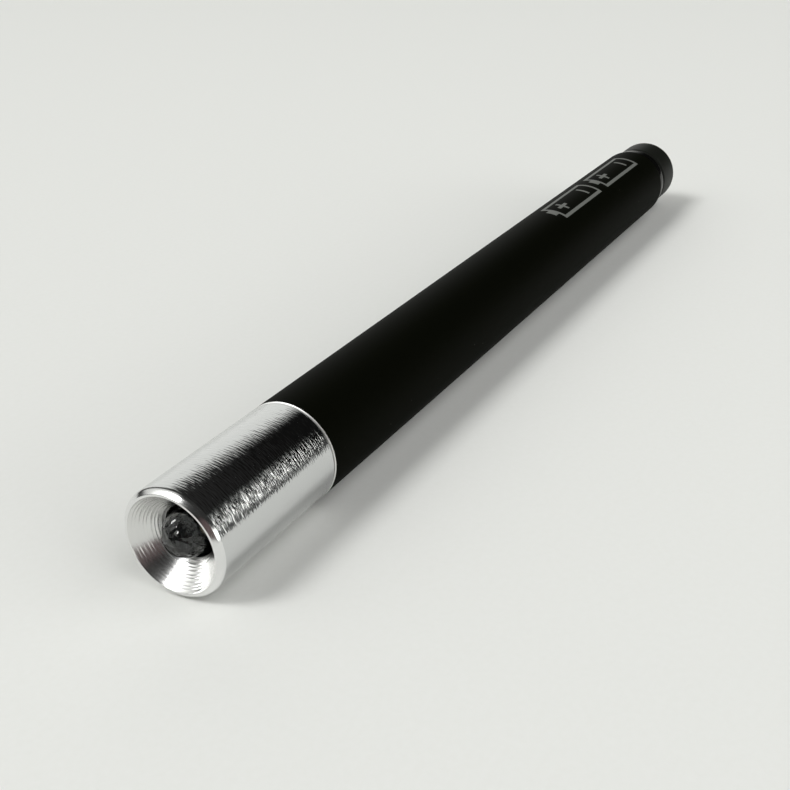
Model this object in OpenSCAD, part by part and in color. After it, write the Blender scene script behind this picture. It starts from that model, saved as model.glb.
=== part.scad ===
// Penlight for two slim cells, lying along X with its head towards -X.
// Turned aluminium head with a bare LED, black tube, gloss black tail collar and a push button.

/* [Cells] */
// Outside diameter of one cell with its jacket
cell_d = 10.4; // [9.8:0.1:12]
// Length of one cell from plus tip to base
cell_len = 44.5; // [40:0.5:52]
// Diameter of the plus terminal
nub_d = 3.8; // [3:0.1:4.4]
// Height of the plus terminal
nub_h = 1.2; // [0.8:0.1:1.6]
// Thickness of the cell's jacket
jacket_t = 0.1; // [0.06:0.02:0.2]
// Radial width of the can's rim round the grommet
crimp_w = 0.7; // [0.4:0.05:0.9]
// Radial width of the grommet round the base
grommet_w = 0.8; // [0.5:0.1:1]
// Depth of the grommet and base in the can
grommet_len = 1; // [0.6:0.1:2]
// Height of the base above the rim of the can
base_proud = 0.15; // [0.05:0.05:0.4]

/* [Barrel] */
// Radial room round a cell in the barrel
cell_gap = 0.25; // [0.1:0.05:0.5]
// Wall of the barrel tube
barrel_wall = 0.8; // [0.7:0.05:1.6]
// Wall left outside the thread at each end of the barrel
thread_wall = 0.5; // [0.4:0.05:0.6]
// Rounding of the barrel's tail edge
tail_edge = 0.3; // [0.1:0.05:0.35]

/* [Head] */
// Length of the head in front of the barrel
head_len = 21; // [18:0.5:30]
// Depth of the countersunk mouth
cone_depth = 3.05; // [2:0.05:4]
// Width of the flat land round the mouth
rim_land = 0.1; // [0.05:0.05:0.3]
// Radial width of the chamfer round the front rim
rim_chamfer = 0.55; // [0.2:0.05:0.8]
// Length of that chamfer along the head
rim_rise = 0.6; // [0.2:0.05:1]
// Chamfer on the head's rear edge
head_edge = 0.2; // [0.1:0.05:0.4]
// Length of the spigot that screws into the barrel
spigot_len = 7; // [6:0.5:10]
// Room behind the spigot in the barrel's thread
spigot_relief = 0.5; // [0.2:0.1:1]
// Distance from the end of the spigot to the front cell's shoulder
cell_setback = 1; // [0.6:0.1:2]

/* [LED] */
// Diameter of the LED's dome
led_d = 5; // [4.6:0.1:5.4]
// Diameter of the LED's rim
led_rim_d = 5.8; // [5.6:0.1:6.4]
// Thickness of the LED's rim
led_rim_t = 1; // [0.6:0.1:1.4]
// Height of the LED from dome tip to the back of its rim
led_len = 8.6; // [8:0.1:9.6]
// Distance of the dome's tip behind the mouth
led_sink = 0; // [0:0.1:1.5]
// Width of a square LED lead
lead_w = 0.5; // [0.4:0.05:0.6]
// Spacing of the two leads
lead_pitch = 2.54; // [2.4:0.02:2.7]
// Depth of the anvil's top behind the dome's tip
chip_depth = 4.4; // [3.6:0.1:5]
// Height of the anvil
anvil_h = 1.6; // [1.2:0.1:2]
// Thickness of the anvil across the leads
anvil_t = 0.9; // [0.7:0.1:1.2]
// Reach of the anvil past the LED's axis
anvil_reach = 0.55; // [0.4:0.05:0.6]
// Side of the square chip with its phosphor
chip_w = 0.7; // [0.4:0.05:0.8]
// Height of the chip with its phosphor
chip_h = 0.3; // [0.2:0.05:0.4]
// Radial room round the LED's rim
led_gap = 0.15; // [0.1:0.05:0.4]

/* [Head module] */
// Length of the holder's nose in the LED hole
nose_len = 1; // [0.5:0.1:2]
// Wall of the holder's skirt
skirt_wall = 0.9; // [0.6:0.1:1]
// Depth of the skirt that clears the resistor
skirt_len = 1.5; // [1:0.1:3]
// Radial room round a lead in the holder and board
lead_room = 0.1; // [0.05:0.05:0.2]
// Thickness of the circuit board
board_t = 1; // [0.6:0.1:1.6]
// Length of the chip resistor
resistor_l = 2; // [1.6:0.1:3.2]
// Width of the chip resistor
resistor_w = 1.25; // [0.8:0.05:1.6]
// Height of the chip resistor
resistor_h = 0.5; // [0.4:0.05:0.7]
// Distance from the board's middle to the near side of the resistor
resistor_off = 0.95; // [0.8:0.05:1]
// Length of the lock ring
lock_len = 2; // [1.2:0.1:2.4]
// Wall of the lock ring
lock_wall = 1; // [0.7:0.1:1.2]
// Width of the lock ring's key slots
key_w = 1; // [0.6:0.1:1.6]
// Depth of the lock ring's key slots
key_depth = 0.8; // [0.4:0.1:1]
// Distance of the lock ring inside the spigot
lock_recess = 0.5; // [0.2:0.1:1]
// Diameter of the centre contact's shank
stud_d = 1.3; // [1:0.1:1.4]
// Diameter of the centre contact's head
stud_head_d = 3; // [2:0.1:3.6]
// Thickness of the centre contact's head
stud_head_h = 0.8; // [0.4:0.1:1]

/* [Seals] */
// Section of the O-rings
seal_d = 0.8; // [0.6:0.05:0.9]
// Side room of an O-ring in its groove
seal_side = 0.1; // [0.05:0.05:0.2]
// Wall left under the head's O-ring groove
groove_wall = 0.6; // [0.5:0.05:0.8]
// Distance of the head's O-ring behind the joint
seal_back = 1.6; // [1.2:0.1:2.4]

/* [Switch] */
// Fitted length of the tail spring
spring_len = 8; // [7:0.25:14]
// Wire of the tail spring
spring_wire = 0.6; // [0.4:0.05:0.7]
// Width of the cell's base outside the tail spring
base_edge = 1.1; // [0.6:0.1:1.4]
// Width of the contact plate outside the tail spring
plate_edge = 0.9; // [0.5:0.1:1.6]
// Turns of the tail spring
spring_turns = 5; // [4:1:6]
// Radial room round the contact plate
plate_gap = 0.85; // [0.6:0.05:1.2]
// Thickness of the contact plate
plate_t = 0.5; // [0.3:0.1:1]
// Thickness of the switch housing's base
base_wall = 4.5; // [4.3:0.1:6]
// Wall of the switch housing
housing_wall = 1.2; // [1.1:0.05:1.4]
// Thickness of the housing's rear flange
flange_t = 1; // [0.6:0.1:1.4]
// Shank diameter of the contact rivet
rivet_d = 1.4; // [1:0.1:1.6]
// Head diameter of the contact rivet
rivet_head_d = 2.4; // [2:0.1:2.6]
// Height of the fixed contacts above the housing's base
contact_h = 0.6; // [0.4:0.1:0.8]
// Thickness of the stamped earth contact
earth_t = 0.4; // [0.3:0.05:0.6]
// Width of the earth contact's foot
foot_w = 2; // [1.2:0.1:2.4]
// How far the earth contact's foot reaches under the bridge
foot_reach = 0.85; // [0.6:0.05:0.9]
// Radial room round the bridge in the housing
bridge_gap = 0.4; // [0.3:0.05:0.6]
// Thickness of the bridge
bridge_t = 0.5; // [0.3:0.1:0.8]
// Wire of the return spring
return_wire = 0.35; // [0.25:0.05:0.45]
// Turns of the return spring
return_turns = 4; // [3:1:5]
// Depth of the return spring's pocket
pocket_depth = 3.3; // [2.5:0.1:3.6]

/* [Tail] */
// Length of the collar's plug in the barrel
plug_len = 5.2; // [4:0.1:8]
// Length of the collar behind the barrel
collar_len = 2.2; // [1.5:0.1:4]
// Step from the barrel in to the collar
collar_step = 0.3; // [0.2:0.05:0.35]
// Rounding of the collar's edges
collar_round = 0.3; // [0.1:0.05:0.5]
// Diameter of the button's stem
stem_d = 3; // [2.4:0.1:3.4]
// Diameter of the stem's front head
stem_head_d = 4.8; // [4:0.1:5.4]
// Length of the stem's front head
stem_head_len = 2.8; // [2:0.1:4]
// Diameter of the spigot that carries the bridge
stem_spigot_d = 2; // [1.4:0.1:2.2]
// How far the button is pushed in
button_travel = 1; // [0.6:0.1:1.5]
// Gap left between button and collar when it is pushed in
press_margin = 0.2; // [0.1:0.05:0.5]
// Step from the barrel in to the button
button_step = 0.5; // [0.3:0.05:1]
// Length of the button
button_len = 6.6; // [5.6:0.1:10]
// Rounding of the button's end
button_round = 1; // [0.4:0.1:1.8]
// Rounding of the button's front edge
button_lip = 0.3; // [0.1:0.05:0.5]
// Wall of the button's skirt
button_wall = 1.3; // [1:0.1:1.6]
// Wall of the boss round the stem
boss_wall = 1.1; // [0.8:0.1:1.4]
// Depth of the hollow in the button
button_hollow = 3.2; // [2:0.1:3.6]
// Depth of the stem's socket in the button
socket_len = 4.5; // [3.5:0.1:4.8]

/* [Fits] */
// Radial running clearance of threads and the stem
running_fit = 0.05; // [0.03:0.01:0.1]
// Radial clearance of pieces that are pushed or pressed in
seat_fit = 0.03; // [0.02:0.01:0.06]
// Clearance round a seal
seal_fit = 0.03; // [0.02:0.01:0.05]
// Gap between faces that meet across a moving joint
face_gap = 0.05; // [0.03:0.01:0.1]

/* [Hidden] */
$fn = 96;
// Distance that a cut runs past the face it opens
past = 0.5;

// Radii from the cell outwards
cell_r = cell_d / 2;
can_r = cell_r - jacket_t - seat_fit;
base_r = can_r - crimp_w - grommet_w - 2 * seat_fit;
bore_r = cell_r + cell_gap;
body_r = bore_r + barrel_wall;
thread_r = body_r - thread_wall;
spigot_r = thread_r - running_fit;

// Head, from the mouth back
mouth_r = body_r - rim_chamfer - rim_land;
hole_r = led_rim_d / 2 + led_gap;
z_led_back = led_sink + led_len;
z_shoulder = z_led_back + nose_len;
z_spigot = head_len + spigot_len;
z_lock_back = z_spigot - lock_recess;
z_board_back = z_lock_back - lock_len;
z_board = z_board_back - board_t;
z_anvil = led_sink + chip_depth;

// O-ring groove and the bore that is left under it
seal_mid_r = thread_r - seal_fit - seal_d / 2;
groove_floor_r = thread_r - seal_d - 2 * seal_fit;
groove_len = seal_d + 2 * seal_side;
z_seal = head_len + seal_back;
module_r = groove_floor_r - groove_wall;

// Cells, switch and tail, from the spigot back
z_plus = z_spigot + cell_setback - nub_h;
z_rear_plus = z_plus + cell_len;
z_cells_back = z_rear_plus + cell_len;
z_plate = z_cells_back + spring_len;
z_housing = z_plate + plate_t;
z_floor = z_housing + base_wall;
z_contact = z_floor + contact_h;
z_bridge = z_contact + button_travel + face_gap;
z_stem_head = z_bridge + bridge_t;
z_plug = z_stem_head + stem_head_len + face_gap;
z_housing_back = z_plug - earth_t;
z_seat = z_housing_back - flange_t;
z_tail = z_plug + plug_len;
z_collar_back = z_tail + collar_len;
z_button = z_collar_back + button_travel + press_margin;
total_len = z_button + button_len;

housing_r = bore_r - running_fit;
cavity_r = housing_r - housing_wall;
plate_r = bore_r - plate_gap;
spring_r_cell = base_r - base_edge - spring_wire / 2;
spring_r_plate = plate_r - plate_edge - spring_wire / 2;
bridge_r = cavity_r - bridge_gap;
foot_r = bridge_r - foot_reach;
return_r = (rivet_head_d / 2 + foot_r) / 2;
stem_r = stem_d / 2;
stem_seal_mid_r = stem_r + seal_fit + seal_d / 2;
z_stem_seal = z_plug + plug_len / 2;
collar_r = body_r - collar_step;
button_r = body_r - button_step;

// Pen axis: local Z runs from the mouth to the button, and the barrel lies on the floor
module along() translate([-total_len / 2, 0, body_r]) rotate([0, 90, 0]) children();

// Solid of revolution between two heights, with a straight or tapered side
module rod(r, z_a, z_b, r_b = -1) {
    translate([0, 0, z_a]) cylinder(r1 = r, r2 = r_b < 0 ? r : r_b, h = z_b - z_a);
}

module tube(r_out, r_in, z_a, z_b) {
    difference() {
        rod(r_out, z_a, z_b);
        rod(r_in, z_a - past, z_b + past);
    }
}

module block(x_a, x_b, y_a, y_b, z_a, z_b) {
    translate([x_a, y_a, z_a]) cube([x_b - x_a, y_b - y_a, z_b - z_a]);
}

module o_ring(mid_r, z) {
    translate([0, 0, z]) rotate_extrude() translate([mid_r, 0]) circle(d = seal_d, $fn = 48);
}

// Rod whose two rims are rounded
module soft_rod(r, z_a, z_b, round_a, round_b) {
    rod(r, z_a + round_a, z_b - round_b);
    rod(r - max(round_a, round_b), z_a, z_b);
    for (rim = [[z_a + round_a, round_a], [z_b - round_b, round_b]]) {
        translate([0, 0, rim[0]]) rotate_extrude() translate([r - rim[1], 0]) circle(r = rim[1], $fn = 48);
    }
    rod(r - round_a, z_a, z_b - round_b);
    rod(r - round_b, z_a + round_a, z_b);
}

// One lead of the LED, with room round it where it is cut out of the epoxy
module lead(side, z_a, z_b, room) {
    half = lead_w / 2 + room;
    mid = side * lead_pitch / 2;
    block(-half, half, mid - half, mid + half, z_a - room, z_b);
}

module cathode_shape(z_b, room) {
    lead(1, z_anvil, z_b, room);
    block(-anvil_t / 2 - room, anvil_t / 2 + room, -anvil_reach - room, (lead_pitch + lead_w) / 2 + room,
        z_anvil - room, z_anvil + anvil_h + room);
}

module anode_shape(z_b, room) lead(-1, z_anvil, z_b, room);

module chip_shape(room) {
    half = chip_w / 2 + room;
    block(-half, half, -half, half, z_anvil - chip_h - room, z_anvil);
}

// Helical wire: points of its middle line, its rings and its skin
ring_count = 12;
ring_sides = 6;

function coil_angle(i) = 360 * i / ring_count;
function coil_mid(i, n, r_a, r_b, z_a, z_b) =
    let (part = i / n, r = r_a + (r_b - r_a) * part)
    [r * cos(coil_angle(i)), r * sin(coil_angle(i)), z_a + (z_b - z_a) * part];
function unit(v) = v / norm(v);
function coil_ring(i, n, r_a, r_b, z_a, z_b, wire) =
    let (mid = coil_mid(i, n, r_a, r_b, z_a, z_b),
        ahead = unit(coil_mid(i + 1, n, r_a, r_b, z_a, z_b) - coil_mid(i - 1, n, r_a, r_b, z_a, z_b)),
        out = [cos(coil_angle(i)), sin(coil_angle(i)), 0],
        side = unit(cross(ahead, out)),
        outward = cross(side, ahead))
    [for (k = [0:ring_sides - 1])
        mid + wire / 2 * (cos(360 * k / ring_sides) * outward + sin(360 * k / ring_sides) * side)];
function coil_gap(n, r_a, r_b, z_a, z_b, wire) =
    min([for (i = [0:n - ring_count]) for (j = [i + ring_count - 2:min(n, i + ring_count + 2)])
        norm(coil_mid(i, n, r_a, r_b, z_a, z_b) - coil_mid(j, n, r_a, r_b, z_a, z_b))]) - wire;

module coil(turns, r_a, r_b, z_a, z_b, wire) {
    n = turns * ring_count;
    low = z_a + wire / 2 + seat_fit;
    high = z_b - wire / 2 - seat_fit;
    skin = [for (i = [0:n]) each coil_ring(i, n, r_a, r_b, low, high, wire)];
    last = n * ring_sides;
    sides = [for (i = [0:n - 1]) for (k = [0:ring_sides - 1])
        let (a = i * ring_sides + k, b = i * ring_sides + (k + 1) % ring_sides)
        each [[a, b, b + ring_sides], [a, b + ring_sides, a + ring_sides]]];
    caps = [for (k = [1:ring_sides - 2]) each [[0, k + 1, k], [last, last + k, last + k + 1]]];
    echo(least_gap = coil_gap(n, r_a, r_b, low, high, wire));
    polyhedron(points = skin, faces = concat(sides, caps));
}

// Head: turned from bar, countersunk at the front and bored from behind
module head_shell() {
    color("silver") along() difference() {
        union() {
            rod(body_r - rim_chamfer, 0, rim_rise, body_r);
            rod(body_r, rim_rise, head_len - head_edge);
            rod(body_r, head_len - head_edge, head_len, body_r - head_edge);
            rod(spigot_r, head_len - head_edge, z_spigot);
        }
        rod(mouth_r, 0, cone_depth, hole_r);
        rod(mouth_r, -past, 0);
        rod(hole_r, cone_depth - head_edge, z_shoulder + past);
        rod(module_r, z_shoulder, z_spigot + past);
        tube(spigot_r + past, groove_floor_r, z_seal - groove_len / 2, z_seal + groove_len / 2);
    }
}

// LED: clear epoxy body, cast round its two leads and the chip
module led_lens() {
    color("whitesmoke") along() difference() {
        union() {
            translate([0, 0, led_sink + led_d / 2]) sphere(d = led_d);
            rod(led_d / 2, led_sink + led_d / 2, z_led_back);
            rod(led_rim_d / 2, z_led_back - led_rim_t, z_led_back);
        }
        cathode_shape(z_led_back + past, seat_fit);
        anode_shape(z_led_back + past, seat_fit);
        chip_shape(seat_fit);
    }
}

module led_cathode() color("lightgray") along() cathode_shape(z_board_back, 0);

module led_anode() color("lightgray") along() anode_shape(z_board_back, 0);

module led_chip() color("gold") along() chip_shape(0);

// Round holes for the two leads
module lead_holes(z_a, z_b) {
    for (side = [-1, 1]) {
        translate([0, side * lead_pitch / 2, 0]) rod(lead_w / sqrt(2) + lead_room, z_a - past, z_b + past);
    }
}

// Holder: nylon plug behind the LED, with a skirt that stands on the board
module led_holder() {
    color("white") along() difference() {
        union() {
            rod(hole_r - seat_fit, z_led_back, z_shoulder);
            rod(module_r - seat_fit, z_shoulder, z_board);
        }
        rod(module_r - skirt_wall, z_board - skirt_len, z_board + past);
        lead_holes(z_led_back, z_board);
    }
}

module contact_board() {
    color("darkgreen") along() difference() {
        rod(module_r - seat_fit, z_board, z_board_back);
        lead_holes(z_board, z_board_back);
        rod(stud_d / 2 + seat_fit, z_board - past, z_board_back + past);
    }
}

module series_resistor() {
    color("dimgray") along() block(resistor_off, resistor_off + resistor_w, -resistor_l / 2, resistor_l / 2,
        z_board - resistor_h, z_board);
}

// Centre contact: brass pin through the board, with a flat head for the cell
module centre_contact() {
    color("gold") along() {
        rod(stud_d / 2, z_board, z_plus);
        rod(stud_head_d / 2, z_plus - stud_head_h, z_plus);
    }
}

// Lock ring: screwed in behind the board, with two slots for a key
module lock_ring() {
    color("goldenrod") along() difference() {
        tube(module_r - seat_fit, module_r - lock_wall, z_board_back, z_lock_back);
        block(-key_w / 2, key_w / 2, -body_r, body_r, z_lock_back - key_depth, z_lock_back + past);
    }
}

module head_seal() color("black") along() o_ring(seal_mid_r, z_seal);

// Barrel: plain tube, opened out at both ends for the threads
module barrel_tube() {
    color("black") along() difference() {
        soft_rod(body_r, head_len + face_gap, z_tail, face_gap, tail_edge);
        rod(bore_r, head_len - past, z_tail + past);
        rod(thread_r, head_len - past, z_spigot + spigot_relief);
        rod(thread_r, z_seat, z_tail + past);
    }
}

// One cell: steel can with its plus nub, and a base set in a grommet at the other end
module cell_can(z_tip) {
    z_back = z_tip + cell_len;
    color("silver") along() difference() {
        union() {
            rod(nub_d / 2, z_tip, z_tip + nub_h + past);
            rod(can_r, z_tip + nub_h, z_back - base_proud);
        }
        rod(base_r + grommet_w + 2 * seat_fit, z_back - grommet_len, z_back + past);
    }
}

module cell_jacket(z_tip) {
    color("darkslateblue") along()
        tube(cell_r, can_r + seat_fit, z_tip + nub_h, z_tip + cell_len - base_proud);
}

module cell_grommet(z_tip) {
    z_back = z_tip + cell_len;
    inner = base_r + seat_fit;
    color("gray") along() tube(inner + grommet_w, inner, z_back - grommet_len, z_back - base_proud);
}

module cell_base(z_tip) {
    z_back = z_tip + cell_len;
    color("lightgray") along() rod(base_r, z_back - grommet_len, z_back);
}

module front_cell_can() cell_can(z_plus);

module front_cell_jacket() cell_jacket(z_plus);

module front_cell_grommet() cell_grommet(z_plus);

module front_cell_base() cell_base(z_plus);

module rear_cell_can() cell_can(z_rear_plus);

module rear_cell_jacket() cell_jacket(z_rear_plus);

module rear_cell_grommet() cell_grommet(z_rear_plus);

module rear_cell_base() cell_base(z_rear_plus);

// Tail spring: cone of wire between the rear cell and the contact plate
module tail_spring() {
    color("silver") along()
        coil(spring_turns, spring_r_cell, spring_r_plate, z_cells_back, z_plate, spring_wire);
}

module contact_plate() {
    color("gold") along() tube(plate_r, rivet_d / 2 + seat_fit, z_plate, z_housing);
}

// Rivet: clamps the plate to the housing, and its inner head is a contact of the switch
module contact_rivet() {
    color("goldenrod") along() {
        rod(rivet_head_d / 2, z_plate - contact_h, z_plate);
        rod(rivet_d / 2, z_plate - contact_h, z_contact);
        rod(rivet_head_d / 2, z_floor, z_contact);
    }
}

// Housing: nylon cup with a pocket for the return spring and a slot for the earth contact
module switch_housing() {
    pocket_half = return_wire / 2 + 2 * running_fit;
    color("ivory") along() difference() {
        union() {
            rod(housing_r, z_housing, z_housing_back);
            rod(thread_r - running_fit, z_seat, z_housing_back);
        }
        rod(cavity_r, z_floor, z_housing_back + past);
        rod(rivet_d / 2 + seat_fit, z_housing - past, z_floor + past);
        tube(return_r + pocket_half, return_r - pocket_half, z_floor - pocket_depth, z_floor + past);
        block(-foot_w / 2 - running_fit, foot_w / 2 + running_fit, 0, cavity_r + earth_t + 2 * running_fit,
            z_floor, z_housing_back + past);
    }
}

// Earth contact: stamped ring under the collar, with a leg down the slot and a foot beside the rivet
module earth_contact() {
    leg_r = cavity_r + running_fit;
    color("gold") along() {
        tube(thread_r - running_fit, leg_r - earth_t, z_housing_back, z_plug);
        block(-foot_w / 2, foot_w / 2, leg_r, leg_r + earth_t, z_floor, z_plug);
        block(-foot_w / 2, foot_w / 2, foot_r, leg_r + earth_t, z_floor, z_contact);
    }
}

module contact_bridge() {
    color("gold") along() tube(bridge_r, stem_spigot_d / 2 + seat_fit, z_bridge, z_stem_head);
}

module return_spring() {
    color("silver") along() coil(return_turns, return_r, return_r, z_floor - pocket_depth, z_bridge, return_wire);
}

// Collar: glossy ring at the tail, with a plug screwed into the barrel and a bore for the stem
module tail_collar() {
    color("black") along() difference() {
        union() {
            rod(thread_r - seat_fit, z_plug, z_tail + collar_round);
            soft_rod(collar_r, z_tail, z_collar_back, face_gap, collar_round);
        }
        rod(stem_r + running_fit, z_plug - past, z_collar_back + past);
        rod(stem_seal_mid_r + seal_d / 2 + seal_fit, z_stem_seal - groove_len / 2, z_stem_seal + groove_len / 2);
    }
}

module stem_seal() color("black") along() o_ring(stem_seal_mid_r, z_stem_seal);

// Stem: steel pin, held in by its head and pressed into the button
module button_stem() {
    color("lightgray") along() {
        rod(stem_spigot_d / 2, z_bridge, z_stem_head);
        rod(stem_head_d / 2, z_stem_head, z_stem_head + stem_head_len);
        rod(stem_r, z_stem_head, z_button + socket_len);
    }
}

// Button: moulded cap with a rounded end, hollow round the boss that takes the stem
module button_cap() {
    boss_r = stem_r + seat_fit + boss_wall;
    color("darkslategray") along() difference() {
        soft_rod(button_r, z_button, total_len, button_lip, button_round);
        tube(button_r - button_wall, boss_r, z_button - past, z_button + button_hollow);
        rod(stem_r + seat_fit, z_button - past, z_button + socket_len);
    }
}

head_shell();
led_lens();
led_cathode();
led_anode();
led_chip();
led_holder();
contact_board();
series_resistor();
centre_contact();
lock_ring();
head_seal();
barrel_tube();
front_cell_can();
front_cell_jacket();
front_cell_grommet();
front_cell_base();
rear_cell_can();
rear_cell_jacket();
rear_cell_grommet();
rear_cell_base();
tail_spring();
contact_plate();
contact_rivet();
switch_housing();
earth_contact();
contact_bridge();
return_spring();
tail_collar();
stem_seal();
button_stem();
button_cap();
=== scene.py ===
import math

import bmesh
import bpy
from mathutils import Matrix, Vector


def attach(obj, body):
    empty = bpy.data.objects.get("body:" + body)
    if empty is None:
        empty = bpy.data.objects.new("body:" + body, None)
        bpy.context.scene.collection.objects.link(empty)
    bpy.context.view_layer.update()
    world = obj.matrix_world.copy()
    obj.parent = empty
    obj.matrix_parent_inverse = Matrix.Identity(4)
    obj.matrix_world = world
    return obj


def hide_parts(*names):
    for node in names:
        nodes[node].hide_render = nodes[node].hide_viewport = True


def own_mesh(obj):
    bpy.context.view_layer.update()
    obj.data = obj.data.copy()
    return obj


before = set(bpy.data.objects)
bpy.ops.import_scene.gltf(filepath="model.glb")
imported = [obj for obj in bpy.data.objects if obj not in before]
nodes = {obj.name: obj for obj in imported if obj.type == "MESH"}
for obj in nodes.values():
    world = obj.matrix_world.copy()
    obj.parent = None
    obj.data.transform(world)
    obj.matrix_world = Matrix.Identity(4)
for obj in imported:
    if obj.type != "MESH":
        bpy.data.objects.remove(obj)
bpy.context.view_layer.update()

# Head shell: a sleeve turned from aluminium bar, countersunk at the mouth round the LED hole and bored
# from behind for the lamp module. The sleeve keeps the lathe's feed lines, and the mouth and rim have
# had a finer cut that leaves them nearly bright.
MM = 0.001
MOUTH_X = -75.0  # station 0, the mouth of the head, in mm along X
BODY_R = 6.25  # outer radius of head and barrel in mm
AXIS_Z = BODY_R  # height of the penlight's axis, since it lies on the floor
AXIS = Vector((0, 0, AXIS_Z * MM))


def spot(station, radius, sideways=0.0):
    """Point at a station along the penlight and a radius above its axis, from mm."""
    return Vector((MOUTH_X + station, sideways, AXIS_Z + radius)) * MM


def outline(corners):
    """Closed lathe profile above the axis, from corners of (station, radius, rounding) in mm."""
    bm = bmesh.new()
    verts = [bm.verts.new(spot(station, radius)) for station, radius, _ in corners]
    bm.faces.new(verts)
    for vert, (_, _, rounding) in zip(verts, corners):
        if rounding:
            bmesh.ops.bevel(bm, geom=[vert], offset=rounding * MM, offset_type="OFFSET", affect="VERTICES",
                            segments=4 + int(rounding * 8), profile=0.5, material=-1)
    bmesh.ops.delete(bm, geom=bm.faces[:], context="FACES_ONLY")
    return bm


def spun(bm, name, steps=160):
    """Turns a profile once round the axis into a closed piece."""
    on_axis = [e for e in bm.edges if all(v.co.z < AXIS.z + 1e-7 for v in e.verts)]
    bmesh.ops.delete(bm, geom=on_axis, context="EDGES_FACES")
    bmesh.ops.spin(bm, geom=bm.verts[:] + bm.edges[:], cent=AXIS, axis=(1, 0, 0), angle=math.tau,
                   steps=steps, use_merge=True)
    bmesh.ops.remove_doubles(bm, verts=bm.verts, dist=1e-7)
    bmesh.ops.recalc_face_normals(bm, faces=bm.faces)
    return piece(bm, name)


def piece(bm, name):
    """Object at the origin from a finished bmesh, smooth apart from its real edges."""
    mesh = bpy.data.meshes.new(name)
    bm.to_mesh(mesh)
    bm.free()
    mesh.shade_smooth()
    mesh.set_sharp_from_angle(angle=math.radians(35))
    made = bpy.data.objects.new(name, mesh)
    bpy.context.scene.collection.objects.link(made)
    return made


def fit(obj, body, slot, *replaced):
    """Sets a new piece on its CAD body and hides the nodes it stands for; slot is not used."""
    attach(obj, body)
    if replaced:
        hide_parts(*replaced)


def linear(code):
    """Linear colour of an sRGB hex value."""
    parts = [int(code[i:i + 2], 16) / 255 for i in (0, 2, 4)]
    return tuple(p / 12.92 if p <= 0.04045 else ((p + 0.055) / 1.055) ** 2.4 for p in parts) + (1.0,)


def add(tree, kind, inputs, **settings):
    """Adds a node with its settings; an input is a value, an output, or a node for its first output."""
    node = tree.nodes.new(kind)
    for key, value in settings.items():
        setattr(node, key, value)
    for key, value in inputs.items():
        if isinstance(value, bpy.types.Node):
            value = value.outputs[0]
        if isinstance(value, bpy.types.NodeSocket):
            tree.links.new(value, node.inputs[key])
        else:
            node.inputs[key].default_value = value
    return node


def material(name):
    """New material with its tree emptied, and the Object coordinates that its patterns start from."""
    made = bpy.data.materials.new(name)
    made.use_nodes = True
    tree = made.node_tree
    tree.nodes.clear()
    return made, tree, add(tree, "ShaderNodeTexCoord", {}).outputs["Object"]


def paint(obj, *finishes):
    """Gives a piece or a CAD node its finishes in place of any it has."""
    obj.data.materials.clear()
    for each in finishes:
        obj.data.materials.append(each)


# Aluminium as the lathe left it: bright, with feed lines round it and short torn streaks between them.
# The feed is about 0.1 mm, drawn at 0.2 mm so that the lines still show at this picture's scale.
FEED_LINES, TEARS = 4.8 / MM, 0.9 / MM  # 4.8 lines to a mm, and streaks about 1.1 mm long
turned_aluminium, tree, place = material("turned_aluminium")
feed = add(tree, "ShaderNodeMapping", {"Vector": place, "Scale": (FEED_LINES, 0, 0)})
lines = add(tree, "ShaderNodeTexNoise", {"Vector": feed, "Scale": 1, "Detail": 1, "Roughness": 0.6})
torn = add(tree, "ShaderNodeMapping", {"Vector": place, "Scale": (FEED_LINES, TEARS, TEARS)})
streaks = add(tree, "ShaderNodeTexNoise", {"Vector": torn, "Scale": 1, "Detail": 1, "Roughness": 0.6})
relief = add(tree, "ShaderNodeMath", {0: lines, 1: 0.7, 2: streaks}, operation="MULTIPLY_ADD")
bump = add(tree, "ShaderNodeBump", {"Height": relief, "Strength": 1.0, "Distance": 0.032 * MM})
shade = add(tree, "ShaderNodeMapRange", {"Value": streaks, "To Min": 0.07, "To Max": 0.15})
metal = add(tree, "ShaderNodeBsdfPrincipled", {
    "Base Color": linear("D2D3D3"), "Metallic": 1.0, "Roughness": shade, "Normal": bump})
add(tree, "ShaderNodeOutputMaterial", {"Surface": metal})

# The same aluminium under a fine finishing cut: a soft mirror, with faint turning lines. They are about
# 0.05 mm apart, drawn at 0.17 mm.
polished_aluminium, tree, place = material("polished_aluminium")
feed = add(tree, "ShaderNodeMapping", {"Vector": place, "Scale": (6.0 / MM, 0.4 / MM, 0.4 / MM)})
lines = add(tree, "ShaderNodeTexNoise", {"Vector": feed, "Scale": 1, "Detail": 2, "Roughness": 0.6})
bump = add(tree, "ShaderNodeBump", {"Height": lines, "Strength": 1.0, "Distance": 0.005 * MM})
shade = add(tree, "ShaderNodeMapRange", {"Value": lines, "To Min": 0.12, "To Max": 0.24})
metal = add(tree, "ShaderNodeBsdfPrincipled", {
    "Base Color": linear("E8E8E8"), "Metallic": 1.0, "Roughness": shade, "Normal": bump})
add(tree, "ShaderNodeOutputMaterial", {"Surface": metal})

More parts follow.
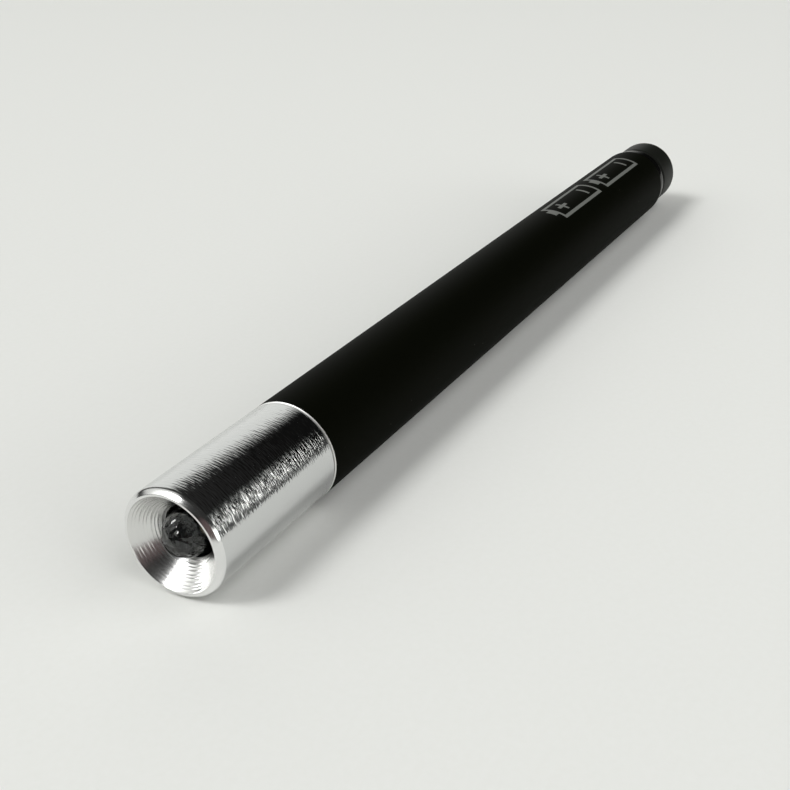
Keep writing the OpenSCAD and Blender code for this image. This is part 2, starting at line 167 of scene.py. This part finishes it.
# The countersink was cut by hand with a form tool: satin, with rings of chatter that fan the light out. The
# fine lines between the rings are about 0.1 mm apart, drawn at 0.2 mm.
countersunk_aluminium, tree, place = material("countersunk_aluminium")
feed = add(tree, "ShaderNodeMapping", {"Vector": place, "Scale": (4.5 / MM, 0.25 / MM, 0.25 / MM)})
lines = add(tree, "ShaderNodeTexNoise", {"Vector": feed, "Scale": 1, "Detail": 3, "Roughness": 0.6})
bump = add(tree, "ShaderNodeBump", {"Height": lines, "Strength": 1.0, "Distance": 0.016 * MM})
shade = add(tree, "ShaderNodeMapRange", {"Value": lines, "To Min": 0.18, "To Max": 0.3})
metal = add(tree, "ShaderNodeBsdfPrincipled", {
    "Base Color": linear("DCDCDB"), "Metallic": 1.0, "Roughness": shade, "Normal": bump})
add(tree, "ShaderNodeOutputMaterial", {"Surface": metal})

MOUTH_R, HOLE_R, CONE_DEPTH = 5.50, 3.05, 3.05
RIM_END = 0.77  # station where the rim's finishing cut runs out
CONE_RINGS = 10  # tool marks across the countersink, each a shallow hollow
RING_DEPTH = 0.016
RING_CUTS = 8  # points to a hollow
SPIGOT_R, GROOVE_R, ROOT_R, BORE_R = 5.70, 4.89, 5.20, 4.29  # spigot, its O-ring groove, thread root, bore
head_profile = outline([
    (CONE_DEPTH, HOLE_R, 0), (0, MOUTH_R, 0.05), (0, 5.72, 0.06), (0.55, BODY_R, 0.28),
    (20.75, BODY_R, 0.06), (21, 6.0, 0.06), (21, SPIGOT_R, 0), (22.1, SPIGOT_R, 0.05), (22.1, GROOVE_R, 0),
    (23.1, GROOVE_R, 0), (23.1, SPIGOT_R, 0.05), (23.4, SPIGOT_R, 0), (23.7, ROOT_R, 0), (27.7, ROOT_R, 0),
    (28, ROOT_R, 0.1), (28, BORE_R, 0), (9.6, BORE_R, 0), (9.6, HOLE_R, 0)])
cone_foot, cone_lip = spot(CONE_DEPTH, HOLE_R), spot(0, MOUTH_R)
slant = cone_lip - cone_foot
into_metal = Vector((slant.z, 0, -slant.x)).normalized()
cone_edge = max((e for e in head_profile.edges if all(v.co.x < cone_foot.x + 1e-7 for v in e.verts)),
                key=lambda e: e.calc_length())
cuts = bmesh.ops.subdivide_edges(head_profile, edges=[cone_edge], cuts=CONE_RINGS * RING_CUTS - 1)
for vert in (v for v in cuts["geom_inner"] if isinstance(v, bmesh.types.BMVert)):
    ring = (vert.co - cone_foot).dot(slant) / slant.length_squared * CONE_RINGS
    ring += 0.12 * math.sin(2.3 * ring)  # the tool was fed by hand
    across = 2 * (ring - math.floor(ring + 1e-6)) - 1
    vert.co += into_metal * max(0.0, 1 - across ** 2) * RING_DEPTH * MM
head = spun(head_profile, "head_sleeve", steps=192)
paint(head, turned_aluminium, polished_aluminium, countersunk_aluminium)
for face in head.data.polygons:
    station = face.center.x / MM - MOUTH_X
    radius = math.hypot(face.center.y, face.center.z - AXIS.z) / MM
    if station < CONE_DEPTH + 0.05 and radius < MOUTH_R - 0.02:
        face.material_index = 2
    elif station < RIM_END:
        face.material_index = 1
fit(head, "head", "turned_aluminium", "head_shell")

# Head thread: the right-hand thread cut on the spigot, 1 mm pitch, a little over three turns. It is of one
# piece with the head, brighter on its flanks, and shows when the head is unscrewed to change the cells.
def swept(bm, turns, rise, steps_per_turn):
    """Sweeps the faces of a bmesh along a right-hand helix round the axis, rising by rise mm a turn."""
    bmesh.ops.spin(bm, geom=bm.verts[:] + bm.edges[:] + bm.faces[:], cent=AXIS, axis=(1, 0, 0),
                   angle=math.tau * turns, steps=int(turns * steps_per_turn),
                   dvec=(rise * MM / steps_per_turn, 0, 0))
    bmesh.ops.recalc_face_normals(bm, faces=bm.faces)


THREAD_TURNS, PITCH = 3.25, 1.0
bm = bmesh.new()
bm.faces.new([bm.verts.new(spot(station, radius)) for station, radius in
              [(23.55, 5.15), (23.55, 5.22), (23.85, 5.69), (23.97, 5.69), (24.27, 5.22), (24.27, 5.15)]])
swept(bm, THREAD_TURNS, PITCH, 64)
head_thread = piece(bm, "head_thread")
paint(head_thread, polished_aluminium)
fit(head_thread, "head", "turned_aluminium")

# LED lens: the clear epoxy body of a 5 mm LED, cast round its lead frame and pushed into the head's hole
# from behind. The dome magnifies what is in it.

# Cast epoxy: clear, faintly grey and glossy. The casting is wavy at about 0.6 mm, which breaks highlights
# up into specks. The waves are drawn deeper than real, so that a few specks show at this picture's scale.
clear_epoxy, tree, place = material("clear_epoxy")
ripple = add(tree, "ShaderNodeTexNoise", {"Vector": place, "Scale": 1.7 / MM, "Detail": 0})
gloss = add(tree, "ShaderNodeMapRange", {"Value": ripple, "To Min": 0.0, "To Max": 0.03})
bump = add(tree, "ShaderNodeBump", {"Height": ripple, "Strength": 1.0, "Distance": 0.23 * MM})
resin = add(tree, "ShaderNodeBsdfPrincipled", {
    "Base Color": linear("B2B6B6"), "Roughness": gloss, "IOR": 1.53, "Transmission Weight": 1.0,
    "Normal": bump})
add(tree, "ShaderNodeOutputMaterial", {"Surface": resin})
LED_R, FLANGE_R = 2.5, 2.9
lens = spun(outline([
    (0, 0, 0), (0, LED_R, LED_R - 0.001), (7.6, LED_R, 0.1), (7.6, FLANGE_R, 0.1), (8.6, FLANGE_R, 0.1),
    (8.6, 0, 0)]), "led_dome", steps=96)
paint(lens, clear_epoxy)
fit(lens, "head", "led_epoxy", "led_lens")


# LED lead frame, chip and bond wire: two stamped steel leads with a silver flash, the chip under a cap of
# phosphor on the anvil, and a gold wire looped from it to the other lead before the epoxy is cast.
def grained(name, low, high, grain, depth, rough, **shader):
    """Finish whose colour, gloss and relief follow one noise: grain in mm along x, y and z, depth in mm."""
    made, tree, place = material(name)
    scale = add(tree, "ShaderNodeMapping", {"Vector": place, "Scale": [1 / (g * MM) for g in grain]})
    noise = add(tree, "ShaderNodeTexNoise", {"Vector": scale, "Scale": 1, "Detail": 3, "Roughness": 0.6})
    tone = add(tree, "ShaderNodeMix", {"Factor": noise, 6: linear(low), 7: linear(high)}, data_type="RGBA")
    gloss = add(tree, "ShaderNodeMapRange", {"Value": noise, "To Min": rough[0], "To Max": rough[1]})
    bump = add(tree, "ShaderNodeBump", {"Height": noise, "Strength": 1.0, "Distance": depth * MM})
    surface = add(tree, "ShaderNodeBsdfPrincipled", {
        "Base Color": tone.outputs[2], "Roughness": gloss, "Normal": bump, **shader})
    add(tree, "ShaderNodeOutputMaterial", {"Surface": surface})
    return made


# Silver flash is bright, and uneven where the punch dragged, which is drawn deeper than real so that it
# glints through the dome. Phosphor is a matt, yellowish grey cake, and the gold wire is drawn smooth.
METAL = {"Metallic": 1.0}
silvered_steel = grained("silvered_steel", "C4C4C0", "DEDEDA", (0.25, 0.25, 0.25), 0.06, (0.1, 0.2),
                         **METAL)
phosphor = grained("phosphor", "A6A48E", "C6C4AE", (0.05, 0.05, 0.05), 0.004, (0.6, 0.8))
gold_wire = grained("gold_wire", "C9A24E", "E2BE6C", (0.1, 0.1, 0.1), 0.001, (0.2, 0.3), **METAL)
paint(nodes["led_cathode"], silvered_steel)
paint(nodes["led_anode"], silvered_steel)
paint(nodes["led_chip"], phosphor)
WIRE_R, LOOP_R, LOOP_STATION = 0.03, 0.63, 4.1
bm = bmesh.new()
bmesh.ops.create_circle(bm, cap_ends=True, segments=8, radius=WIRE_R * MM,
                        matrix=Matrix.Rotation(math.pi / 2, 4, "Y"))
bmesh.ops.translate(bm, verts=bm.verts, vec=spot(LOOP_STATION, 0))
bmesh.ops.spin(bm, geom=bm.verts[:] + bm.edges[:] + bm.faces[:], cent=spot(LOOP_STATION, 0, -LOOP_R),
               axis=(0, 0, 1), angle=math.pi, steps=24)
bmesh.ops.recalc_face_normals(bm, faces=bm.faces)
bond_wire = piece(bm, "led_bond_wire")
paint(bond_wire, gold_wire)
fit(bond_wire, "head", "brass")

# Lamp module: a black nylon holder behind the LED, the round circuit board with its chip resistor and
# brass contact stud, and the brass ring with two key slots that locks them in the head.

# Moulded nylon has a fine dull grain, and the laminate shows its weave through green lacquer. The fired
# ceramic is dull, and the brass keeps fine turning lines.
black_nylon = grained("black_nylon", "151615", "1F201F", (0.15, 0.15, 0.15), 0.004, (0.5, 0.65))
board_laminate = grained("board_laminate", "1D4A2E", "2A5E3C", (0.25, 0.25, 0.25), 0.004, (0.3, 0.45))
ceramic = grained("resistor_ceramic", "1B1B1D", "2A2A2C", (0.05, 0.05, 0.05), 0.003, (0.45, 0.6))
turned_brass = grained("turned_brass", "B08D45", "CDA961", (0.08, 1.5, 1.5), 0.004, (0.2, 0.35), **METAL)
paint(nodes["led_holder"], black_nylon)
paint(nodes["contact_board"], board_laminate)
paint(nodes["series_resistor"], ceramic)
paint(nodes["centre_contact"], turned_brass)
paint(nodes["lock_ring"], turned_brass)

# Head seal and stem seal: O-rings moulded in nitrile rubber, matt black with a fine bloom. One sits in the
# groove of the head's spigot, the other in the collar round the button's stem.
nitrile_rubber = grained("nitrile_rubber", "0E0E0E", "191919", (0.12, 0.12, 0.12), 0.004, (0.55, 0.75))
paint(nodes["head_seal"], nitrile_rubber)
paint(nodes["stem_seal"], nitrile_rubber)

# Barrel: a drawn aluminium tube, opened out at both ends for the threads, then blasted and anodised black.
# Its front end was faced and its edge broken after the anodising, and is bare metal.

# Dyed oxide on blasted metal: a fine matt skin that only shines at a glancing angle, with a few specks of
# dust on it. The blasting's grain of about 0.05 mm is drawn at 0.125 mm.
GRIT = 8.0 / MM
black_anodise, tree, place = material("black_anodise")
blast = add(tree, "ShaderNodeMapping", {"Vector": place, "Scale": (GRIT, GRIT, GRIT)})
grit = add(tree, "ShaderNodeTexNoise", {"Vector": blast, "Scale": 1, "Detail": 2, "Roughness": 0.7})
bump = add(tree, "ShaderNodeBump", {"Height": grit, "Strength": 1.0, "Distance": 0.005 * MM})
shade = add(tree, "ShaderNodeMapRange", {"Value": grit, "To Min": 0.5, "To Max": 0.64})
dust = add(tree, "ShaderNodeTexVoronoi", {"Vector": place, "Scale": 0.5 / MM})  # one cell to 2 mm
near = add(tree, "ShaderNodeMapRange", {
    "Value": dust.outputs["Distance"], "From Min": 0.03, "From Max": 0.06, "To Min": 1.0, "To Max": 0.0})
pick = add(tree, "ShaderNodeMath", {0: dust.outputs["Color"], 1: 0.7}, operation="GREATER_THAN")
speck = add(tree, "ShaderNodeMath", {0: near, 1: pick}, operation="MULTIPLY")
tone = add(tree, "ShaderNodeMix", {"Factor": speck, 6: linear("070804"), 7: linear("3A3B38")},
           data_type="RGBA")
oxide = add(tree, "ShaderNodeBsdfPrincipled", {
    "Base Color": tone.outputs[2], "Roughness": shade, "Specular IOR Level": 0.014, "Normal": bump})
add(tree, "ShaderNodeOutputMaterial", {"Surface": oxide})

# Faced aluminium: bare and pale, rough enough to look evenly bright from most sides.
satin_aluminium = grained("satin_aluminium", "E6E6E4", "F4F4F2", (0.1, 0.1, 0.1), 0.002, (0.5, 0.6),
                          **METAL)
FRONT, EDGE, TAIL = 21.05, 0.11, 140  # front end, its broken edge, tail end
CELL_BORE_R, THREAD_R = 5.45, 5.75
barrel = spun(outline([
    (FRONT, BODY_R - EDGE, 0), (FRONT + EDGE, BODY_R, 0), (TAIL, BODY_R, 0.45), (TAIL, THREAD_R, 0.03),
    (133.4, THREAD_R, 0), (133.4, CELL_BORE_R, 0), (28.5, CELL_BORE_R, 0), (28.5, THREAD_R, 0),
    (FRONT, THREAD_R, 0.05)]), "barrel_anodised", steps=192)
paint(barrel, black_anodise, satin_aluminium)
for face in barrel.data.polygons:
    if face.center.x / MM - MOUTH_X < FRONT + EDGE + 0.01:
        face.material_index = 1
fit(barrel, "barrel", "black_anodise", "barrel_tube")

# Cell marks: the outline of the two cells with their signs, screen printed in grey ink along the top of the
# barrel near the tail, to show which way round they go in. The ink dries matt and a little uneven.
grey_ink = grained("grey_ink", "5C5E5A", "6C6E6A", (0.12, 0.12, 0.12), 0.003, (0.5, 0.65))
INK_FOOT, INK_TOP = 6.24, 6.262  # the ink stands 12 micrometres proud
MARK_TURN = -5  # degrees from the top of the barrel towards +Y
marks = bmesh.new()


def stroke(station_a, station_b, side_a, side_b):
    """One bar of ink between two stations and two distances in mm round the barrel."""
    start = len(marks.verts)
    marks.faces.new([marks.verts.new(spot(station, radius)) for station, radius in
                     [(station_a, INK_FOOT), (station_b, INK_FOOT),
                      (station_b, INK_TOP), (station_a, INK_TOP)]])
    marks.verts.ensure_lookup_table()
    section = marks.verts[start:]
    bmesh.ops.rotate(marks, verts=section, cent=AXIS,
                     matrix=Matrix.Rotation(side_a / AXIS_Z - math.radians(MARK_TURN), 3, "X"))
    edges = list({e for v in section for e in v.link_edges})
    section += edges + list({f for v in section for f in v.link_faces})
    bmesh.ops.spin(marks, geom=section, cent=AXIS, axis=(1, 0, 0), angle=(side_b - side_a) / AXIS_Z,
                   steps=max(1, round((side_b - side_a) / 0.3)))


LINE, SIGN = 0.6, 1.2  # width of the printed lines, half the height of the signs
for front in (98.5, 118.0):
    back, half = front + 16.5, 2.4
    plus, minus = front + 3.7, back - 3.4
    stroke(front, back, -half, LINE - half)  # the long sides
    stroke(front, back, half - LINE, half)
    stroke(front, front + LINE, LINE - half, half - LINE)  # the two ends
    stroke(back - LINE, back, LINE - half, half - LINE)
    stroke(front - 1.2, front, -0.9, 0.9)  # the cell's nib
    stroke(front + 2.2, front + 5.2, -LINE / 2, LINE / 2)  # the plus
    stroke(plus - LINE / 2, plus + LINE / 2, LINE / 2, SIGN)
    stroke(plus - LINE / 2, plus + LINE / 2, -SIGN, -LINE / 2)
    stroke(minus - LINE / 2, minus + LINE / 2, -SIGN, SIGN)  # the minus
bmesh.ops.recalc_face_normals(marks, faces=marks.faces)
cell_marks = piece(marks, "cell_marks")
paint(cell_marks, grey_ink)
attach(cell_marks, "barrel")

# Cells: two slim alkaline cells, each a nickel-plated steel can in a shrunk plastic jacket, with a nylon
# grommet and a plated base crimped into its open end.

# Nickel plate is bright and faintly warm, the shrunk film glossy with slow dents, the bare nylon milky.
nickel_steel = grained("nickel_plated_steel", "B4B2AA", "CFCDC6", (0.3, 0.3, 0.3), 0.002, (0.18, 0.3),
                       **METAL)
cell_jacket = grained("cell_jacket_film", "262C3C", "30384C", (2.0, 2.0, 2.0), 0.003, (0.25, 0.4))
natural_nylon = grained("natural_nylon", "C9C4B4", "D8D4C6", (0.2, 0.2, 0.2), 0.004, (0.45, 0.6))
for cell in ("front_cell", "rear_cell"):
    paint(nodes[cell + "_can"], nickel_steel)
    paint(nodes[cell + "_base"], nickel_steel)
    paint(nodes[cell + "_jacket"], cell_jacket)
    paint(nodes[cell + "_grommet"], natural_nylon)


# Tail spring: a cone wound from spring wire, which stands on the switch's plate, presses the cells forward
# and carries the current. The drawn wire is grey, with bright scuffs.
def coil(name, turns, station_a, station_b, radius_a, radius_b, wire):
    """Round wire wound along the axis from one radius to another, all in mm."""
    bm = bmesh.new()
    bmesh.ops.create_circle(bm, cap_ends=True, segments=14, radius=wire / 2 * MM,
                            matrix=Matrix.Translation(spot(station_a + wire / 2, radius_a))
                            @ Matrix.Rotation(math.pi / 2, 4, "X"))
    swept(bm, turns, (station_b - station_a - wire) / turns, 48)
    for vert in bm.verts:
        along = (vert.co.x / MM - MOUTH_X - station_a) / (station_b - station_a)
        out = Vector((0, vert.co.y, vert.co.z - AXIS.z)).normalized()
        vert.co += out * (radius_b - radius_a) * along * MM
    return piece(bm, name)


spring_wire = grained("spring_wire", "8E8E8C", "B2B2AE", (0.3, 0.3, 0.3), 0.002, (0.2, 0.32), **METAL)
tail_spring = coil("tail_spring_wire", 5, 116.83, 124.77, 2.11, 3.4, 0.6)
paint(tail_spring, spring_wire)
fit(tail_spring, "barrel", "spring_steel", "tail_spring")

# Switch: a nylon cup pushed into the barrel, a brass plate riveted under it for the spring, a stamped earth
# contact down a slot in its wall, and the brass bridge on the stem that joins the two when pressed.
# Stamped brass is smooth and yellow, a little stained in patches.
stamped_brass = grained("stamped_brass", "B7933F", "D2AE5C", (0.4, 0.4, 0.4), 0.003, (0.22, 0.36), **METAL)
paint(nodes["switch_housing"], natural_nylon)
for node in ("contact_plate", "contact_rivet", "earth_contact", "contact_bridge"):
    paint(nodes[node], stamped_brass)

# Return spring: a small coil of the same wire in the cup's pocket, which pushes the button back. It is
# drawn at rest; on the real penlight the button's travel of 1 mm shortens it from 4.95 mm.
return_spring = coil("return_spring_wire", 4, 126.53, 131.42, 2.075, 2.075, 0.35)
paint(return_spring, spring_wire)
fit(return_spring, "barrel", "spring_steel", "return_spring")
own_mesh(return_spring)

# Tail collar: turned aluminium, polished and anodised gloss black, whose plug screws into the barrel and
# guides the stem. It is a dark mirror that shines only at a glancing angle.
gloss_anodise = grained("gloss_black_anodise", "060606", "0A0A09", (0.5, 0.5, 0.5), 0.001, (0.12, 0.2),
                        **{"Specular IOR Level": 0.1})
PLUG_R, COLLAR_R, GUIDE_R, SEAL_R = 5.72, 5.95, 1.55, 2.36  # plug, ring, stem's bore, its O-ring groove
collar = spun(outline([
    (134.8, PLUG_R, 0.2), (TAIL, PLUG_R, 0), (TAIL, COLLAR_R, 0.05), (142.2, COLLAR_R, 0.3),
    (142.2, GUIDE_R, 0.1), (137.9, GUIDE_R, 0), (137.9, SEAL_R, 0), (136.9, SEAL_R, 0), (136.9, GUIDE_R, 0),
    (134.8, GUIDE_R, 0)]), "tail_collar_turned")
paint(collar, gloss_anodise)
fit(collar, "barrel", "gloss_black", "tail_collar")

# Button and stem: the button is moulded in dark grey ABS with a rounded end, hollow round a boss that is
# pressed on the turned steel stem.

# The steel keeps fine turning lines. The ABS has the mould's fine spark grain, which leaves a satin gloss.
turned_steel = grained("turned_steel", "9FA0A0", "BDBEBE", (0.08, 1.5, 1.5), 0.003, (0.18, 0.3), **METAL)
button_abs = grained("button_abs", "131411", "1A1B18", (0.12, 0.12, 0.12), 0.004, (0.4, 0.52),
                     **{"Specular IOR Level": 0.1})
paint(nodes["button_stem"], turned_steel)
BUTTON_R, HOLLOW_R, BOSS_R, STEM_HOLE_R = 5.75, 4.45, 2.63, 1.53
LIP, END = 143.4, 150  # the button's open edge and its end
button = spun(outline([
    (LIP, BUTTON_R, 0.3), (END, BUTTON_R, 1.0), (END, 0, 0), (147.9, 0, 0), (147.9, STEM_HOLE_R, 0),
    (LIP, STEM_HOLE_R, 0.1), (LIP, BOSS_R, 0.1), (146.6, BOSS_R, 0.2), (146.6, HOLLOW_R, 0.2),
    (LIP, HOLLOW_R, 0.2)]), "button_moulded")
paint(button, button_abs)
fit(button, "button", "button_plastic", "button_cap")

# Floor: a broad sheet of pale matt paper, laid flat under the penlight. Its fibres cloud the white a
# little.
paper = grained("pale_matt_paper", "E2E3DF", "E6E7E4", (0.8, 0.8, 0.8), 0.0, (0.85, 0.95),
                **{"Specular IOR Level": 0.1})
bm = bmesh.new()
bmesh.ops.create_grid(bm, x_segments=1, y_segments=1, size=0.8)
floor = piece(bm, "floor")
paint(floor, paper)


# Studio: a soft key lamp in front on the far side and a broad panel high on the near side. Round them is a
# room that the metal mirrors: a pale wall with its corner and front on the far side, a bright window, its
# sill and a low light on the near side, a dim warm corner behind the camera and a dark ceiling.
LIT_POINT = Vector((-0.06, 0, 0))


def lamp(name, direction, distance, size, power, mirrored):
    """Round lamp aimed at the head, in metres and watts; mirrored says whether gloss and glass show it."""
    data = bpy.data.lights.new(name, "AREA")
    data.shape = "DISK"
    data.size = size
    data.energy = power
    made = bpy.data.objects.new(name, data)
    away = Vector(direction).normalized()
    made.location = LIT_POINT + away * distance
    made.rotation_euler = (-away).to_track_quat("-Z", "Y").to_euler()
    made.visible_glossy = made.visible_transmission = mirrored
    bpy.context.scene.collection.objects.link(made)


lamp("key_lamp", (-0.53, 0.37, 0.765), 4.0, 1.4, 74.0, True)
lamp("panel", (0.05, -0.69, 0.71), 3.0, 4.0, 61.0, False)

world = bpy.data.worlds.new("studio")
bpy.context.scene.world = world
world.use_nodes = True
tree = world.node_tree
tree.nodes.clear()
facing = add(tree, "ShaderNodeTexCoord", {}).outputs["Generated"]
along, across, up = add(tree, "ShaderNodeSeparateXYZ", {0: facing}).outputs


def glow(level, *limits):
    """Light of a level within soft limits, each of (direction part, where it is dark, where it is full)."""
    for part, dark, full in limits:
        edge = add(tree, "ShaderNodeMapRange", {"Value": part, "From Min": dark, "From Max": full},
                   interpolation_type="SMOOTHSTEP")
        level = add(tree, "ShaderNodeMath", {0: edge, 1: level}, operation="MULTIPLY")
    return level


wall = glow(0.95, (up, 0.72, 0.5), (across, 0.1, 0.4), (along, 0.25, 0.5))
corner = glow(0.75, (up, 0.1, 0.3), (across, 0.1, 0.35), (along, 0.2, -0.05))
front = glow(0.85, (up, 0.3, 0.42), (across, 0.1, 0.35), (along, -0.25, -0.45))
ceiling = glow(0.02, (up, 0.45, 0.6), (along, 0.7, 0.6))
window = glow(3.4, (up, 0.58, 0.33), (up, 0.04, 0.24), (across, -0.2, -0.45), (along, 0.63, 0.65),
              (along, 0.695, 0.675))
sill = glow(0.06, (up, 0.3, 0.15), (across, -0.3, -0.5), (along, 0.3, 0.5))
side = glow(2.6, (up, 0.02, 0.08), (up, 0.42, 0.3), (across, -0.3, -0.5), (along, -0.5, -0.35),
            (along, 0.5, 0.38))
ground = glow(0.85, (up, 0.0, -0.02))
warmth = glow(0.14, (up, 0.58, 0.45), (across, -0.3, -0.5), (along, -0.3, -0.5))
grey = wall
for light in (corner, front, ceiling, window, sill, side):
    grey = add(tree, "ShaderNodeMath", {0: grey, 1: light}, operation="ADD")
grey = add(tree, "ShaderNodeMath", {0: grey, 1: ground}, operation="MAXIMUM")
grey = add(tree, "ShaderNodeMath", {0: grey, 1: 0.006}, operation="ADD")
room = add(tree, "ShaderNodeBackground", {"Color": linear("FDFEFA"), "Strength": grey})
warm = add(tree, "ShaderNodeBackground", {"Color": linear("E0BEBE"), "Strength": warmth})
lit = add(tree, "ShaderNodeAddShader", {0: room, 1: warm})
plain = add(tree, "ShaderNodeBackground", {"Color": linear("E3E4DF")})
seen = add(tree, "ShaderNodeLightPath", {}).outputs["Is Camera Ray"]
mixed = add(tree, "ShaderNodeMixShader", {0: seen, 1: lit, 2: plain})
add(tree, "ShaderNodeOutputWorld", {"Surface": mixed})

# Camera: near the mouth, looking along the barrel from the right and from above, through a lens a little
# longer than normal. Everything is in focus.
optics = bpy.data.cameras.new("camera")
optics.sensor_width = 36
optics.lens = 52.45
optics.clip_start = 0.005
camera = bpy.data.objects.new("camera", optics)
camera.location = (-0.14682, -0.06514, 0.07097)
camera.rotation_euler = (math.radians(63.009), math.radians(0.164), math.radians(-61.121))
bpy.context.scene.collection.objects.link(camera)
bpy.context.scene.camera = camera
bpy.context.scene.view_settings.view_transform = "Standard"
